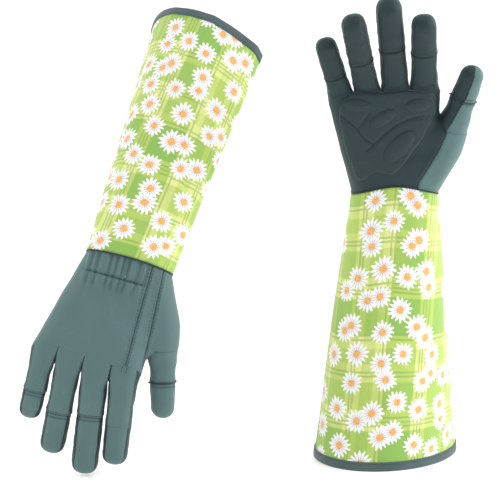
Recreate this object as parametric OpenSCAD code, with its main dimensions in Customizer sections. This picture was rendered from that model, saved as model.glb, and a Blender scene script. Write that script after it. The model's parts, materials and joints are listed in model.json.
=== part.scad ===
// Two gauntlet gardening gloves: leather hands with long printed fabric cuffs.
// The standing glove rests upright on its cuff, palm towards -Y, fingers up.
// The reaching glove rests on its middle fingertip, back of the hand towards -Y.
// Millimetres, +Z up, origin in the middle of the footprint on the surface.
// Each hand has its own frame: wrist centre at the origin, fingers along +Z,
// palm towards -Y and thumb towards +X.

/* [Leather] */
// Thickness of the leather panels
leather_t = 1.4; // [1.2:0.1:1.6]
// Thickness of the palm overlay
overlay_t = 1.2; // [0.8:0.1:1.6]
// Height of the padded islands on the overlay
pad_t = 2.2; // [1.4:0.1:2.6]
// Width of the strips along both sides of a finger
gusset_w = 9; // [7:0.5:10]

/* [Fingers] */
// Little finger, from its root to the centre of its tip
pinky_len = 51; // [46:1:56]
// Ring finger, from its root to the centre of its tip
ring_len = 73; // [66:1:78]
// Middle finger, from its root to the centre of its tip
middle_len = 80; // [74:1:80]
// Index finger, from its root to the centre of its tip
index_len = 67; // [60:1:72]
// Thumb, from its root to the centre of its tip
thumb_len = 54; // [48:1:58]
// Part of a finger's length where its tip cap starts
tip_part = 0.62; // [0.5:0.01:0.7]

/* [Wrist] */
// Half the width of the wrist
wrist_a = 37; // [36:0.5:38]
// Radius of the wrist across the palm
wrist_r = 23; // [22:0.5:24]
// Width of the elastic inside the back of the wrist
elastic_w = 6; // [5:0.5:8]

/* [Cuff] */
// Thickness of the printed sleeve
sleeve_t = 0.9; // [0.8:0.1:1.2]
// Thickness of the lining
lining_t = 0.7; // [0.6:0.1:0.9]
// Width of the bound edge at the cuff's mouth
binding_w = 9; // [7:0.5:12]
// How far the bound edge stands out on each face
binding_lip = 0.8; // [0.5:0.1:1.2]
// Long half width of the cuff's mouth
mouth_long = 71; // [66:1:74]
// Short half width of the cuff's mouth
mouth_short = 56; // [52:1:60]

/* [Hidden] */
gap = 0.6;             // clearance between parts that move
root_cut = 5;          // how far a finger's root ball reaches below its hinge
elastic_z = 18;        // height of the elastic above the wrist
wrist_open = 12;       // the hand is open this far below its wrist hinge
cuff_end = 7;           // the cuff starts this far past the wrist hinge
palm_cut = 10;         // the palm panel ends this far below the finger hinges
far = 400;             // longer than either glove
ball_fn = 20;
sweep_fn = 28;
curve_fn = 48;

// Fingers: root x, y, z, length, root radius, tip radius
PINKY = [-49.5, 0, 95, pinky_len, 10.6, 9.4];
RING = [-26.7, 0, 97, ring_len, 11.2, 10.6];
MIDDLE = [-2.4, 0, 100, middle_len, 11.8, 11.4];
INDEX = [22.8, 0, 98.5, index_len, 12, 10.8];
THUMB = [47.8, -4, 62.2, thumb_len, 12.9, 10.2];
THUMB_BASE = [43, -3, 45, 0, 13.8];
WEB = [20, 0, 72, 0, 11.8];    // leather between the thumb and the index finger
KNUCKLES = [PINKY, RING, MIDDLE, INDEX];
STRIP_INNER = [[20.8, -20], [20.8, 30], [22, 110]];
STRIP_OUTER = [[31, -20], [31, 0], [34.8, 62], [38, 110]];

// Poses: wrist centre, hand rotation, bend to the cuff, mouth centre, mouth rotation,
// then the spread and the bend of the little, ring, middle and index fingers and the thumb
STANDING = [[129.5, -27.2, 239.5], [20, -0.5, 0], -20, [125, -27.2, 0], [0, 0, 45],
    [-16, -12, -7, -4.5, 15], [10, 14, 10, 12, 2]];
REACHING = [[-105, -82.2, 185.1], [168, 16, 0], -26, [-31.5, 67.8, 352.5], [128.6, 24.2, -23.1],
    [1.5, 4, 9, 9, 16], [12, 12, 12, 12, 8]];

THUMB_SWEEP = [-11, 0, 14, 28, 42];
HAND_PARTS = ["palm_panel", "back_panel", "side_strip", "thumb_saddle", "palm_overlay",
    "palm_pads", "wrist_elastic"];
CUFF_PARTS = ["cuff_sleeve", "cuff_lining", "cuff_binding"];
FINGER_NAMES = ["pinky", "ring", "middle", "index"];
STALL_PARTS = ["front", "back", "gusset", "tip"];
THUMB_PARTS = ["thumb_front", "thumb_back", "thumb_tip"];
GLOVE_PARTS = concat(CUFF_PARTS, HAND_PARTS, THUMB_PARTS,
    [for (f = FINGER_NAMES) for (p = STALL_PARTS) str(f, "_", p)]);

PALM_GREEN = [0.22, 0.30, 0.30];
BACK_GREEN = [0.35, 0.47, 0.47];
PRINT_GREEN = [0.78, 0.86, 0.60];
CREAM = [0.90, 0.90, 0.84];

// Closed curve between an ellipse (p = 2) and a rectangle (large p)
function oval(a, b, p = 2, steps = 56) = [for (i = [0:steps - 1])
    let (t = 360 * i / steps, c = cos(t), s = sin(t))
    [a * sign(c) * pow(abs(c), 2 / p), b * sign(s) * pow(abs(s), 2 / p)]];

module in_hand(pose) translate(pose[0]) rotate(pose[1]) children();

module in_finger(pose, finger, i)
    in_hand(pose) translate([finger[0], finger[1], finger[2]])
        rotate([pose[6][i], pose[5][i], 0]) children();

module slab(x0, x1, y0, y1, z0, z1)
    translate([x0, y0, z0]) cube([x1 - x0, y1 - y0, z1 - z0]);

// Prism along Y of an outline in the hand's XZ plane, from y0 to y1
module prism(outline, y0, y1)
    translate([0, y1, 0]) rotate([90, 0, 0]) linear_extrude(y1 - y0) polygon(outline);

// ---- Fingers ----

module stall(finger, inset) {
    r0 = finger[4] - inset;
    r1 = finger[5] - inset;
    sphere(r0, $fn = curve_fn);
    cylinder(h = finger[3], r1 = r0, r2 = r1, $fn = curve_fn);
    translate([0, 0, finger[3]]) sphere(r1, $fn = curve_fn);
}

// Closed leather tube of a finger, open at its root
module stall_shell(finger, y0, y1, z0, z1) intersection() {
    difference() {
        stall(finger, 0);
        stall(finger, leather_t);
    }
    slab(-far, far, y0, y1, z0, z1);
}

module finger_part(pose, i, part) {
    finger = KNUCKLES[i];
    half = gusset_w / 2;
    seam = finger[3] * tip_part;
    in_finger(pose, finger, i) {
        if (part == "front") stall_shell(finger, -far, -half, -root_cut, seam);
        if (part == "back") stall_shell(finger, half, far, -root_cut, seam);
        if (part == "gusset") stall_shell(finger, -half, half, -root_cut, seam);
        if (part == "tip") stall_shell(finger, -far, far, seam, far);
    }
}

module thumb_part(pose, part) {
    seam = THUMB[3] * tip_part;
    in_finger(pose, THUMB, 4) {
        if (part == "thumb_front") stall_shell(THUMB, -far, 0, -root_cut, seam);
        if (part == "thumb_back") stall_shell(THUMB, 0, far, -root_cut, seam);
        if (part == "thumb_tip") stall_shell(THUMB, -far, far, seam, far);
    }
}

// ---- Hand ----

// Drum around the wrist hinge, a surface of revolution about the hand's X axis
module drum(inset) rotate([0, 90, 0]) rotate_extrude($fn = 40)
    polygon([for (p = oval(wrist_r - inset, wrist_a - inset, 2.2, 32))
        if (p[0] >= -0.001) [max(p[0], 0), p[1]]]);

module knuckle(f, grow) translate([f[0], f[1], f[2]]) sphere(f[4] + 2.2 + grow, $fn = ball_fn);

module waist(side, grow) translate([side * (wrist_a - wrist_r + 4), 0, 2])
    sphere(wrist_r - 5 + grow, $fn = ball_fn);

// Palm and back as one smooth body; grow is how far it stands outside the leather
module palm_body(grow) {
    for (i = [0:2]) hull() {
        waist(-1, grow);
        waist(1, grow);
        knuckle(KNUCKLES[i], grow);
        knuckle(KNUCKLES[i + 1], grow);
    }
    hull() {
        waist(-1, grow);
        waist(1, grow);
        knuckle(THUMB_BASE, grow);
        knuckle(WEB, grow);
    }
    hull() {
        knuckle(THUMB_BASE, grow);
        knuckle(THUMB, grow);
    }
}

// Everything past the finger hinges, lowered by drop
module past_knuckles(drop) prism(concat([[-far, KNUCKLES[0][2] - drop]],
    [for (f = KNUCKLES) [f[0], f[2] - drop]],
    [[far, KNUCKLES[3][2] - drop], [far, far], [-far, far]]), -far, far);

// Room that the thumb needs over its whole travel
module thumb_room(pose) translate([THUMB[0], THUMB[1], THUMB[2]])
    rotate([0, pose[5][4], 0]) for (a = THUMB_SWEEP) rotate([pose[6][4] + a, 0, 0])
        cylinder(h = THUMB[3] + 20, r1 = THUMB[4] + 1.2, r2 = THUMB[5] + 1.2, $fn = sweep_fn);

module hand_shell(pose, drop) difference() {
    union() {
        palm_body(0);
        drum(0);
    }
    palm_body(-leather_t);
    drum(leather_t);
    past_knuckles(drop);
    thumb_room(pose);
    slab(-far, far, -far, far, -far, -wrist_open);
}

// Layer on the palm side between two distances from the leather, inside an outline
module palm_layer(pose, low, high) in_hand(pose) difference() {
    intersection() {
        palm_body(high);
        children();
    }
    palm_body(low);
    thumb_room(pose);
}

module palm_panel(pose) in_hand(pose) intersection() {
    hand_shell(pose, palm_cut);
    slab(-far, far, -far, 0, -far, far);
}

module back_panel(pose) in_hand(pose) intersection() {
    hand_shell(pose, 1);
    prism(concat([[-far, -20]], STRIP_INNER, [[-far, 110]]), 0, far);
}

module side_strip(pose) in_hand(pose) intersection() {
    hand_shell(pose, 1);
    prism(concat(STRIP_INNER, [for (i = [3:-1:0]) STRIP_OUTER[i]]), 0, far);
}

module thumb_saddle(pose) in_hand(pose) intersection() {
    hand_shell(pose, 1);
    prism(concat(STRIP_OUTER, [[far, 110], [far, -20]]), 0, far);
}

module palm_overlay(pose) palm_layer(pose, 0, overlay_t)
    prism([[-44, 84], [20, 86], [28, 60], [22, 36], [8, 24], [-16, 20], [-36, 34], [-46, 60]],
        -far, 0);

// An oval island on the palm: centre x, z, half sizes and tilt
module island(x, z, a, b, tilt) translate([x, 0, z]) rotate([0, tilt, 0])
    prism(oval(a, b, 2.3, 28), -far, -10);

module palm_pads(pose) palm_layer(pose, overlay_t, overlay_t + pad_t) {
    island(-31, 76, 12, 5.5, 0);
    island(13, 78, 9, 5.5, 0);
    island(-14, 62, 13, 6, -35);
    island(7, 43, 16, 9, -50);
    island(-30, 46, 12, 7, 60);
}

module wrist_elastic(pose) in_hand(pose) intersection() {
    difference() {
        palm_body(-leather_t);
        palm_body(-leather_t - 1);
    }
    slab(-30, 20, 2, far, elastic_z, elastic_z + elastic_w);
}

// ---- Cuff ----

// Frame of the cuff's wrist end: +Z points towards the hand
module in_wrist(pose) translate(pose[0])
    rotate([pose[1][0] + pose[2], pose[1][1], pose[1][2]]) children();

// Frame of the cuff's mouth: +Z points into the cuff
module in_mouth(pose) translate(pose[3]) rotate(pose[4]) children();

// Solid between the wrist ring and the mouth ring; grow is its distance outside the lining
module cuff_body(pose, grow) hull() {
    in_wrist(pose) linear_extrude(0.1)
        polygon(oval(wrist_a + 1 + grow, wrist_r + gap + grow, 2.3));
    in_mouth(pose) translate([0, 0, -0.1]) linear_extrude(0.1)
        polygon(oval(mouth_long + grow, mouth_short + grow));
}

module cuff_shell(pose, low, high) difference() {
    cuff_body(pose, high);
    cuff_body(pose, low);
    in_mouth(pose) slab(-far, far, -far, far, -far, binding_w);
    in_wrist(pose) slab(-far, far, -far, far, -cuff_end, far);
}

module cuff_sleeve(pose) cuff_shell(pose, lining_t, lining_t + sleeve_t);

module cuff_lining(pose) cuff_shell(pose, 0, lining_t);

module cuff_binding(pose) intersection() {
    difference() {
        cuff_body(pose, lining_t + sleeve_t + binding_lip);
        cuff_body(pose, -binding_lip);
    }
    in_mouth(pose) slab(-far, far, -far, far, 0, binding_w);
}

// ---- Assembly ----

module glove_part(pose, part) {
    if (part == "cuff_sleeve") color(PRINT_GREEN) cuff_sleeve(pose);
    if (part == "cuff_lining") color(CREAM) cuff_lining(pose);
    if (part == "cuff_binding") color(BACK_GREEN) cuff_binding(pose);
    if (part == "palm_panel") color(PALM_GREEN) palm_panel(pose);
    if (part == "back_panel") color(BACK_GREEN) back_panel(pose);
    if (part == "side_strip") color(BACK_GREEN) side_strip(pose);
    if (part == "thumb_saddle") color(BACK_GREEN) thumb_saddle(pose);
    if (part == "palm_overlay") color(PALM_GREEN) palm_overlay(pose);
    if (part == "palm_pads") color(PALM_GREEN) palm_pads(pose);
    if (part == "wrist_elastic") color(CREAM) wrist_elastic(pose);
    for (p = THUMB_PARTS) if (part == p)
        color(p == "thumb_front" ? PALM_GREEN : BACK_GREEN) thumb_part(pose, p);
    for (i = [0:3]) for (p = STALL_PARTS) if (part == str(FINGER_NAMES[i], "_", p))
        color(p == "back" ? BACK_GREEN : PALM_GREEN) finger_part(pose, i, p);
}

for (part = GLOVE_PARTS) {
    glove_part(STANDING, part);
    glove_part(REACHING, part);
}
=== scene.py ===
import json
import math

import bmesh
import bpy
import numpy as np
from mathutils import Matrix, Vector, noise
from mathutils.bvhtree import BVHTree
from mathutils.kdtree import KDTree


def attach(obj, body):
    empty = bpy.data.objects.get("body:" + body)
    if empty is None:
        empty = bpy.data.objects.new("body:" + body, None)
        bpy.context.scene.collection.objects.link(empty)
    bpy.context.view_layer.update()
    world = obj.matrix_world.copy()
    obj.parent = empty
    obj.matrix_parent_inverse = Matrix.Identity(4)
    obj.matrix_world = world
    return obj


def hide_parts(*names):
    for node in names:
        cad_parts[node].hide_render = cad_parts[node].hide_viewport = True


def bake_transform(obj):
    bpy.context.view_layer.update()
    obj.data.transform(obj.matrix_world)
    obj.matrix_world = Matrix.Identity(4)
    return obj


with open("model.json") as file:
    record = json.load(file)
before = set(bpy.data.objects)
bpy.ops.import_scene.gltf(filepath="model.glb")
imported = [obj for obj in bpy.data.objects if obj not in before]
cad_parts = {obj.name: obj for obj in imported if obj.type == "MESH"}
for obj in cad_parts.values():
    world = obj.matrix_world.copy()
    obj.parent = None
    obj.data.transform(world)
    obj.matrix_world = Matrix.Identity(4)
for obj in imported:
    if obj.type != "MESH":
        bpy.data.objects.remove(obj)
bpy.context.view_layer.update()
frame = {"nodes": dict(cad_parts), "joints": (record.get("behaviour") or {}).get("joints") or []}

MM = 0.001
GLOVES = ("standing", "reaching")
FINGERS = ("pinky", "ring", "middle", "index")
DIGITS = FINGERS + ("thumb",)
JOINTS = {joint["name"]: joint for joint in frame["joints"]}

# ---- Studio ----

CAMERA_AT = (0, -1.410, 0.406)
CAMERA_DOWN = 9          # degrees below level
CAMERA_LENS = 111.4
SENSOR_WIDE = 36


def make_camera():
    data = bpy.data.cameras.new("studio_camera")
    data.lens = CAMERA_LENS
    data.sensor_width = SENSOR_WIDE
    data.clip_end = 30
    camera = bpy.data.objects.new("studio_camera", data)
    camera.location = CAMERA_AT
    camera.rotation_euler = (math.radians(90 - CAMERA_DOWN), 0, 0)
    bpy.context.collection.objects.link(camera)
    bpy.context.scene.camera = camera


make_camera()


def area_light(name, place, aim, size, power):
    data = bpy.data.lights.new(name, "AREA")
    data.shape = "RECTANGLE"
    data.size = size[0]
    data.size_y = size[1]
    data.energy = power
    light = bpy.data.objects.new(name, data)
    light.location = place
    toward = Vector(aim) - Vector(place)
    light.rotation_euler = toward.to_track_quat("-Z", "Y").to_euler()
    bpy.context.collection.objects.link(light)


# ---- Shader building blocks ----

def link(tree, source, target):
    tree.links.new(source, target)


def set_inputs(tree, made, values):
    """Links or sets each socket of a new node"""
    for socket, value in values:
        if hasattr(value, "is_output"):
            tree.links.new(value, made.inputs[socket])
        else:
            made.inputs[socket].default_value = value


def node(tree, kind, values=None, **settings):
    made = tree.nodes.new(kind)
    for key, value in settings.items():
        setattr(made, key, value)
    set_inputs(tree, made, (values or {}).items())
    return made


def calc(tree, operation, *values, clamp=False):
    made = node(tree, "ShaderNodeMath", operation=operation, use_clamp=clamp)
    set_inputs(tree, made, enumerate(values))
    return made.outputs[0]


def step_up(tree, value, low, high):
    made = node(tree, "ShaderNodeMapRange", {0: value, 1: low, 2: high, 3: 0.0, 4: 1.0},
                interpolation_type="SMOOTHSTEP")
    return made.outputs[0]


def mix(tree, factor, first, second, blend="MIX"):
    made = node(tree, "ShaderNodeMix", data_type="RGBA", blend_type=blend)
    set_inputs(tree, made, ((0, factor), (6, first), (7, second)))
    return made.outputs[2]


def colour(red, green, blue):
    """Display values from 0 to 255 as a linear colour"""
    def linear(value):
        value /= 255
        return value / 12.92 if value <= 0.04045 else ((value + 0.055) / 1.055) ** 2.4
    return (linear(red), linear(green), linear(blue), 1)


def group(name, inputs, outputs):
    tree = bpy.data.node_groups.new(name, "ShaderNodeTree")
    kinds = {"F": "NodeSocketFloat", "C": "NodeSocketColor", "V": "NodeSocketVector"}
    for label, kind, value in inputs:
        socket = tree.interface.new_socket(label, in_out="INPUT", socket_type=kinds[kind])
        if value is not None:
            socket.default_value = value
    for label, kind in outputs:
        tree.interface.new_socket(label, in_out="OUTPUT", socket_type=kinds[kind])
    enter = tree.nodes.new("NodeGroupInput")
    leave = tree.nodes.new("NodeGroupOutput")
    return tree, enter.outputs, leave.inputs


def use_group(tree, made, values):
    return node(tree, "ShaderNodeGroup", values, node_tree=made).outputs


# ---- Shader groups shared by the materials ----

def leather_grain_group():
    """Fine pebble of synthetic leather with soft colour drift, worn high spots and dark seams"""
    tree, enter, leave = group(
        "leather_grain",
        [("Colour", "C", None), ("Worn", "C", None), ("Seam Colour", "C", None),
         ("Grain", "F", 900.0), ("Drift", "F", 0.1)],
        [("Colour", "C"), ("Roughness", "F"), ("Height", "F")])
    place = node(tree, "ShaderNodeTexCoord").outputs["Object"]
    cells = node(tree, "ShaderNodeTexVoronoi", {"Vector": place, "Scale": enter["Grain"]},
                 feature="DISTANCE_TO_EDGE").outputs["Distance"]
    fine = node(tree, "ShaderNodeTexNoise",
                {"Vector": place, "Scale": 1400.0, "Detail": 2.0}).outputs[0]
    broad = node(tree, "ShaderNodeTexNoise",
                 {"Vector": place, "Scale": 26.0, "Detail": 3.0}).outputs[0]
    creases = node(tree, "ShaderNodeTexNoise",
                   {"Vector": place, "Scale": 85.0, "Detail": 3.0, "Distortion": 0.8}).outputs[0]
    seam = node(tree, "ShaderNodeAttribute", attribute_name="Seam").outputs["Fac"]
    drift = calc(tree, "MULTIPLY", calc(tree, "SUBTRACT", broad, 0.5), enter["Drift"])
    shade = calc(tree, "ADD", 1.0, drift)
    grey = node(tree, "ShaderNodeCombineColor", {0: shade, 1: shade, 2: shade}).outputs[0]
    base = mix(tree, 1.0, enter["Colour"], grey, "MULTIPLY")
    worn = calc(tree, "MULTIPLY", step_up(tree, creases, 0.56, 0.78), 0.35)
    base = mix(tree, worn, base, enter["Worn"])
    base = mix(tree, calc(tree, "MULTIPLY", seam, 0.85), base, enter["Seam Colour"])
    link(tree, base, leave["Colour"])
    rough = calc(tree, "ADD", 0.56, calc(tree, "MULTIPLY", broad, 0.14))
    rough = calc(tree, "SUBTRACT", rough, calc(tree, "MULTIPLY", creases, 0.06))
    link(tree, rough, leave["Roughness"])
    pebble = step_up(tree, cells, 0.0, 0.35)
    height = calc(tree, "ADD", calc(tree, "MULTIPLY", pebble, 0.5),
                  calc(tree, "MULTIPLY", fine, 0.25))
    height = calc(tree, "ADD", height, calc(tree, "MULTIPLY", creases, 1.2))
    link(tree, height, leave["Height"])
    return tree


def plain_weave_group():
    """Over and under threads of a woven cloth, counted in the cloth's own millimetres"""
    tree, enter, leave = group(
        "plain_weave",
        [("Vector", "V", None), ("Threads", "F", 2.6)],
        [("Height", "F"), ("Gap", "F")])
    parts = node(tree, "ShaderNodeSeparateXYZ", {0: enter["Vector"]}).outputs
    turn = calc(tree, "MULTIPLY", enter["Threads"], 3.14159)
    across = calc(tree, "SINE", calc(tree, "MULTIPLY", parts[0], turn))
    along = calc(tree, "SINE", calc(tree, "MULTIPLY", parts[1], turn))
    over = calc(tree, "MULTIPLY", across, along)
    link(tree, calc(tree, "ADD", calc(tree, "MULTIPLY", over, 0.5), 0.5), leave["Height"])
    low = calc(tree, "MULTIPLY", calc(tree, "ABSOLUTE", across), calc(tree, "ABSOLUTE", along))
    link(tree, calc(tree, "SUBTRACT", 1.0, low), leave["Gap"])
    return tree


def band(tree, value, centre, half, soft):
    """1 inside a stripe, 0 outside; value runs from 0 to 1 over one repeat"""
    away = calc(tree, "ABSOLUTE", calc(tree, "SUBTRACT", value, centre))
    away = calc(tree, "MINIMUM", away, calc(tree, "SUBTRACT", 1.0, away))
    return calc(tree, "SUBTRACT", 1.0, step_up(tree, away, half, half + soft))


PLAID_WIDE = 100.0       # repeat across the arm, millimetres of cloth
PLAID_TALL = 116.0       # repeat along the arm
PLAID_BANDS = ((0.16, 0.13, 1.0), (0.56, 0.10, 0.65), (0.86, 0.05, 0.45))
PLAID_LINES = ((0.335, 0.0045), (0.365, 0.004), (0.400, 0.0045), (0.71, 0.0045), (0.74, 0.004),
               (0.985, 0.0045), (0.02, 0.004))


def stripes_group():
    """One direction of the check: wide tinted bands and thin dark lines"""
    tree, enter, leave = group("check_stripes", [("Way", "F", 0.0), ("Repeat", "F", 100.0)],
                               [("Band", "F"), ("Line", "F")])
    turn = calc(tree, "FRACT", calc(tree, "DIVIDE", enter["Way"], enter["Repeat"]))
    wide = 0.0
    for centre, half, strength in PLAID_BANDS:
        stripe = calc(tree, "MULTIPLY", band(tree, turn, centre, half, 0.012), strength)
        wide = calc(tree, "MAXIMUM", wide, stripe)
    link(tree, wide, leave["Band"])
    lines = 0.0
    for centre, half in PLAID_LINES:
        lines = calc(tree, "MAXIMUM", lines, band(tree, turn, centre, half, 0.006))
    link(tree, lines, leave["Line"])
    return tree


def daisy_group():
    """A white daisy in a unit circle: petal mask, heart mask and petal shading"""
    tree, enter, leave = group(
        "daisy",
        [("Vector", "V", None), ("Petals", "F", 15.0)],
        [("Petal", "F"), ("Heart", "F"), ("Shade", "F")])
    parts = node(tree, "ShaderNodeSeparateXYZ", {0: enter["Vector"]}).outputs
    ragged = node(tree, "ShaderNodeTexNoise",
                  {"Vector": enter["Vector"], "Scale": 2.6, "Detail": 1.0}).outputs[0]
    ragged = calc(tree, "SUBTRACT", ragged, 0.5)
    radius = calc(tree, "SQRT", calc(tree, "ADD", calc(tree, "MULTIPLY", parts[0], parts[0]),
                                     calc(tree, "MULTIPLY", parts[1], parts[1])))
    angle = calc(tree, "ARCTAN2", parts[1], parts[0])
    angle = calc(tree, "ADD", angle, calc(tree, "MULTIPLY", ragged, 0.22))
    lobes = calc(tree, "COSINE", calc(tree, "MULTIPLY", angle, enter["Petals"]))
    second = calc(tree, "COSINE", calc(tree, "ADD", calc(tree, "MULTIPLY", angle, 4.0), 1.3))
    reach = calc(tree, "ADD", 0.84, calc(tree, "MULTIPLY", lobes, 0.15))
    reach = calc(tree, "ADD", reach, calc(tree, "MULTIPLY", second, 0.06))
    reach = calc(tree, "ADD", reach, calc(tree, "MULTIPLY", ragged, 0.18))
    inside = calc(tree, "SUBTRACT", reach, radius)
    link(tree, step_up(tree, inside, -0.02, 0.05), leave["Petal"])
    core = calc(tree, "ADD", 0.31, calc(tree, "MULTIPLY", second, 0.012))
    core = calc(tree, "ADD", core, calc(tree, "MULTIPLY", ragged, 0.12))
    link(tree, step_up(tree, calc(tree, "SUBTRACT", core, radius), -0.02, 0.04), leave["Heart"])
    furrow = calc(tree, "SUBTRACT", 0.5, calc(tree, "MULTIPLY", lobes, 0.5))
    ring = calc(tree, "SUBTRACT", 1.0, step_up(tree, radius, 0.25, 0.72))
    link(tree, calc(tree, "MULTIPLY", furrow, calc(tree, "ADD", ring, 0.35)), leave["Shade"])
    return tree


LEATHER_GRAIN = leather_grain_group()
PLAIN_WEAVE = plain_weave_group()
CHECK_STRIPES = stripes_group()
DAISY = daisy_group()


def principled(name):
    material = bpy.data.materials.new(name)
    material.use_nodes = True
    tree = material.node_tree
    return material, tree, tree.nodes["Principled BSDF"]


def add_bump(tree, shader, height, strength, distance):
    bump = node(tree, "ShaderNodeBump", {"Strength": strength, "Distance": distance,
                                         "Height": height})
    link(tree, bump.outputs["Normal"], shader.inputs["Normal"])


def leather(name, face, worn, seam, sheen=0.25, grain=900.0, bump=0.35):
    material, tree, shader = principled(name)
    out = use_group(tree, LEATHER_GRAIN, {"Colour": face, "Worn": worn, "Seam Colour": seam,
                                          "Grain": grain, "Drift": 0.30})
    link(tree, out["Colour"], shader.inputs["Base Color"])
    link(tree, out["Roughness"], shader.inputs["Roughness"])
    shader.inputs["Sheen Weight"].default_value = sheen
    shader.inputs["Sheen Roughness"].default_value = 0.45
    shader.inputs["Sheen Tint"].default_value = (0.75, 0.9, 0.9, 1)
    shader.inputs["Specular IOR Level"].default_value = 0.35
    add_bump(tree, shader, out["Height"], bump, 0.0004)
    return material


def printed_cotton():
    """White daisies on a green check, printed on a plain weave"""
    material, tree, shader = principled("printed_cotton")
    cloth = node(tree, "ShaderNodeUVMap", uv_map="Print").outputs[0]
    parts = node(tree, "ShaderNodeSeparateXYZ", {0: cloth}).outputs
    across = use_group(tree, CHECK_STRIPES, {"Way": parts[0], "Repeat": PLAID_WIDE})
    along = use_group(tree, CHECK_STRIPES, {"Way": parts[1], "Repeat": PLAID_TALL})
    wash = node(tree, "ShaderNodeTexNoise",
                {"Vector": cloth, "Scale": 0.03, "Detail": 3.0}).outputs[0]
    streak = node(tree, "ShaderNodeTexNoise",
                  {"Vector": node(tree, "ShaderNodeVectorMath", {0: cloth, 1: (0.9, 0.05, 1)},
                                  operation="MULTIPLY").outputs[0],
                   "Scale": 1.0, "Detail": 2.0}).outputs[0]
    bands = calc(tree, "MULTIPLY", calc(tree, "ADD", across["Band"], along["Band"]), 0.5)
    tint = calc(tree, "ADD", bands, calc(tree, "MULTIPLY", calc(tree, "SUBTRACT", wash, 0.5), 0.5))
    tint = calc(tree, "ADD", tint,
                calc(tree, "MULTIPLY", calc(tree, "SUBTRACT", streak, 0.5), 0.22), clamp=True)
    base = mix(tree, step_up(tree, tint, 0.0, 0.55), colour(222, 229, 146), colour(178, 203, 100))
    base = mix(tree, step_up(tree, tint, 0.5, 1.0), base, colour(140, 184, 88))
    lines = calc(tree, "MAXIMUM", across["Line"], along["Line"])
    base = mix(tree, calc(tree, "MULTIPLY", lines, 0.42), base, colour(92, 142, 66))
    petal = heart = shade = 0.0
    for layer in ("Daisy_near", "Daisy_next"):
        flower = node(tree, "ShaderNodeUVMap", uv_map=layer).outputs[0]
        out = use_group(tree, DAISY, {"Vector": flower})
        petal = calc(tree, "MAXIMUM", petal, out["Petal"])
        heart = calc(tree, "MAXIMUM", heart, out["Heart"])
        shade = calc(tree, "MAXIMUM", shade,
                     calc(tree, "MULTIPLY", out["Shade"], out["Petal"]))
    white = mix(tree, shade, colour(252, 252, 250), colour(205, 200, 214))
    base = mix(tree, petal, base, white)
    speck = node(tree, "ShaderNodeTexNoise",
                 {"Vector": cloth, "Scale": 0.55, "Detail": 2.0}).outputs[0]
    amber = mix(tree, step_up(tree, speck, 0.4, 0.62), colour(247, 190, 112), colour(238, 162, 84))
    base = mix(tree, heart, base, amber)
    weave = use_group(tree, PLAIN_WEAVE, {"Vector": cloth, "Threads": 2.2})
    # Painted shade in the gaps between the threads
    gap_shade = calc(tree, "MULTIPLY", weave["Gap"], 0.07)
    base = mix(tree, gap_shade, base, colour(96, 128, 70))
    link(tree, base, shader.inputs["Base Color"])
    rough = calc(tree, "ADD", 0.72, calc(tree, "MULTIPLY", weave["Gap"], 0.12))
    link(tree, rough, shader.inputs["Roughness"])
    shader.inputs["Sheen Weight"].default_value = 0.3
    shader.inputs["Sheen Roughness"].default_value = 0.5
    shader.inputs["Specular IOR Level"].default_value = 0.25
    add_bump(tree, shader, weave["Height"], 0.35, 0.00015)
    return material


def woven(name, face, gap_shade_and_blotch_colour, threads, sheen, bump=0.5):
    """Tape or lining cloth with its weave drawn from the Print layer"""
    material, tree, shader = principled(name)
    cloth = node(tree, "ShaderNodeUVMap", uv_map="Print").outputs[0]
    weave = use_group(tree, PLAIN_WEAVE, {"Vector": cloth, "Threads": threads})
    place = node(tree, "ShaderNodeTexCoord").outputs["Object"]
    drift = node(tree, "ShaderNodeTexNoise",
                 {"Vector": place, "Scale": 45.0, "Detail": 3.0}).outputs[0]
    # Painted shade: the gaps between the threads are darkened towards the gap colour, which also gives
    # the random blotches below their tone.
    amount = calc(tree, "MULTIPLY", weave["Gap"], 0.45)
    base = mix(tree, amount, face, gap_shade_and_blotch_colour)
    base = mix(tree, calc(tree, "MULTIPLY", step_up(tree, drift, 0.4, 0.7), 0.25), base, gap_shade_and_blotch_colour)
    link(tree, base, shader.inputs["Base Color"])
    link(tree, calc(tree, "ADD", 0.62, calc(tree, "MULTIPLY", drift, 0.2)),
         shader.inputs["Roughness"])
    shader.inputs["Sheen Weight"].default_value = sheen
    shader.inputs["Specular IOR Level"].default_value = 0.3
    add_bump(tree, shader, weave["Height"], bump, 0.0002)
    return material


def thread_material(name, face, dark):
    material, tree, shader = principled(name)
    place = node(tree, "ShaderNodeTexCoord").outputs["Object"]
    twist = node(tree, "ShaderNodeTexWave", {"Vector": place, "Scale": 900.0,
                                             "Distortion": 1.0}).outputs[1]
    link(tree, mix(tree, twist, face, dark), shader.inputs["Base Color"])
    link(tree, calc(tree, "ADD", 0.5, calc(tree, "MULTIPLY", twist, 0.2)),
         shader.inputs["Roughness"])
    add_bump(tree, shader, twist, 0.4, 0.0001)
    return material


SEAM_DARK = colour(17, 30, 33)
BACK_LEATHER = leather("back_leather", colour(84, 112, 112), colour(96, 126, 124), SEAM_DARK)
# The palm and overlay leathers, and the fourchette leather a little less, are darker than the back
# partly as the glove's own two-tone colour and partly as painted shade of faces turned from the lights.
PALM_LEATHER = leather("palm_leather", colour(30, 50, 54), colour(40, 62, 66), SEAM_DARK, 0.12)
GUSSET_LEATHER = leather("gusset_leather", colour(38, 58, 61), colour(48, 70, 73), SEAM_DARK)
OVERLAY_LEATHER = leather("overlay_leather", colour(30, 50, 54), colour(42, 64, 68), SEAM_DARK,
                          grain=620.0, bump=0.5)
PRINTED_COTTON = printed_cotton()
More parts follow.
